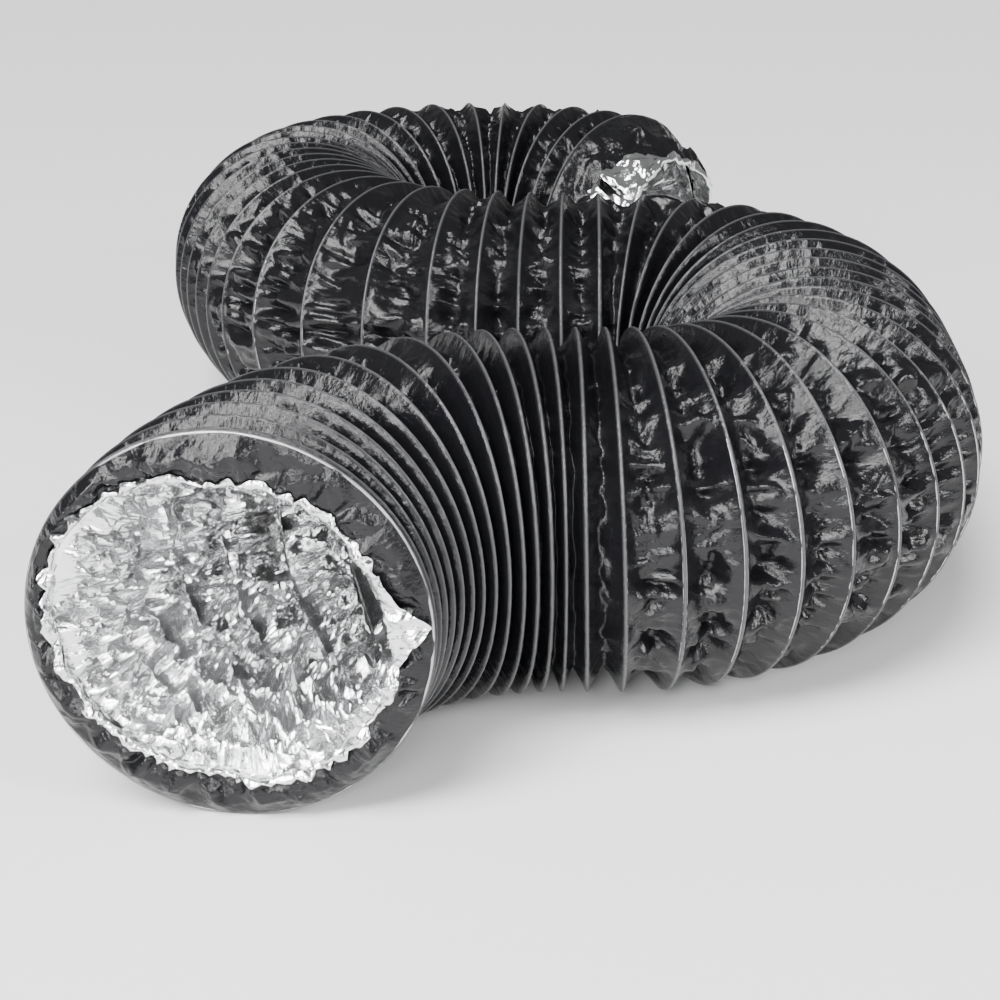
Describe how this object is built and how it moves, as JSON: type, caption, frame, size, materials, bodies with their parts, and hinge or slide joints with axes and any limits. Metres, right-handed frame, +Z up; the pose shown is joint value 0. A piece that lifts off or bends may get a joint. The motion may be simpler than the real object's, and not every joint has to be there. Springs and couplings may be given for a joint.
{
  "type": "flexible air duct",
  "caption": "Round flexible air duct lying in an S of three passes, with a black film jacket, a spring wire helix, a foil liner and two plain open ends.",
  "frame": {"origin": "on the resting surface, under the middle of the duct's box", "axes": "+Z up from the resting surface; the three passes run along X, and the front mouth opens towards -Y"},
  "size_m": [0.571, 1.0259, 0.2102],
  "materials": {
    "jacket_film": "thin glossy black film, creased",
    "foil": "bright crumpled foil laminate",
    "spring_wire": "drawn spring steel wire"
  },
  "bodies": {
    "section_01": {"jacket_01": "jacket_film", "wire_01": "spring_wire", "liner_01": "foil", "front_film_lip": "jacket_film", "front_foil_cuff": "foil"},
    "section_02": {"jacket_02": "jacket_film", "wire_02": "spring_wire", "liner_02": "foil"},
    "section_03": {"jacket_03": "jacket_film", "wire_03": "spring_wire", "liner_03": "foil"},
    "section_04": {"jacket_04": "jacket_film", "wire_04": "spring_wire", "liner_04": "foil"},
    "section_05": {"jacket_05": "jacket_film", "wire_05": "spring_wire", "liner_05": "foil"},
    "section_06": {"jacket_06": "jacket_film", "wire_06": "spring_wire", "liner_06": "foil"},
    "section_07": {"jacket_07": "jacket_film", "wire_07": "spring_wire", "liner_07": "foil"},
    "section_08": {"jacket_08": "jacket_film", "wire_08": "spring_wire", "liner_08": "foil"},
    "section_09": {"jacket_09": "jacket_film", "wire_09": "spring_wire", "liner_09": "foil"},
    "section_10": {"jacket_10": "jacket_film", "wire_10": "spring_wire", "liner_10": "foil"},
    "section_11": {"jacket_11": "jacket_film", "wire_11": "spring_wire", "liner_11": "foil"},
    "section_12": {"jacket_12": "jacket_film", "wire_12": "spring_wire", "liner_12": "foil"},
    "section_13": {"jacket_13": "jacket_film", "wire_13": "spring_wire", "liner_13": "foil"},
    "section_14": {"jacket_14": "jacket_film", "wire_14": "spring_wire", "liner_14": "foil"},
    "section_15": {"jacket_15": "jacket_film", "wire_15": "spring_wire", "liner_15": "foil", "rear_film_cuff": "jacket_film", "rear_foil_cuff": "foil"}
  },
  "joints": [
    {"name": "stretch_01", "type": "slide", "parent": "section_02", "child": "section_01", "axis": [-0.5446, -0.8387, 0], "range_m": [0, 0.06]},
    {"name": "bend_02", "type": "hinge", "parent": "section_03", "child": "section_02", "pos_m": [-0.08159, -0.23429, 0.1051], "axis": [0, 0, -1], "range_deg": [0, 31]},
    {"name": "stretch_03", "type": "slide", "parent": "section_04", "child": "section_03", "axis": [-0.9945, 0.1045, 0], "range_m": [0, 0.045]},
    {"name": "bend_04", "type": "hinge", "parent": "section_05", "child": "section_04", "pos_m": [0.17997, -0.38871, 0.1051], "axis": [0, 0, 1], "range_deg": [0, 45]},
    {"name": "bend_05", "type": "hinge", "parent": "section_06", "child": "section_05", "pos_m": [0.27623, -0.22198, 0.1051], "axis": [0, 0, 1], "range_deg": [0, 25]},
    {"name": "bend_06", "type": "hinge", "parent": "section_07", "child": "section_06", "pos_m": [0.28527, -0.1187, 0.1051], "axis": [0, 0, 1], "range_deg": [0, 24]},
    {"name": "bend_07", "type": "hinge", "parent": "section_08", "child": "section_07", "pos_m": [0.22314, 0.05674, 0.1051], "axis": [0, 0, 1], "range_deg": [0, 45]},
    {"name": "stretch_08", "type": "slide", "parent": "section_09", "child": "section_08", "axis": [0.9986, -0.0523, 0], "range_m": [0, 0.02]},
    {"name": "bend_09", "type": "hinge", "parent": "section_09", "child": "section_10", "pos_m": [-0.06659, -0.06143, 0.1051], "axis": [0, 0, 1], "range_deg": [0, 30]},
    {"name": "bend_10", "type": "hinge", "parent": "section_10", "child": "section_11", "pos_m": [-0.22985, 0.06843, 0.1051], "axis": [0, 0, 1], "range_deg": [0, 31]},
    {"name": "bend_11", "type": "hinge", "parent": "section_11", "child": "section_12", "pos_m": [-0.27958, 0.20505, 0.1051], "axis": [0, 0, 1], "range_deg": [0, 33]},
    {"name": "bend_12", "type": "hinge", "parent": "section_12", "child": "section_13", "pos_m": [-0.23163, 0.41272, 0.1051], "axis": [0, 0, 1], "range_deg": [0, 47]},
    {"name": "bend_13", "type": "hinge", "parent": "section_13", "child": "section_14", "pos_m": [-0.05815, 0.51087, 0.1051], "axis": [0, 0, 1], "range_deg": [0, 45]},
    {"name": "bend_14", "type": "hinge", "parent": "section_14", "child": "section_15", "pos_m": [0.13158, 0.45646, 0.1051], "axis": [0, 0, 1], "range_deg": [0, 26]}
  ]
}
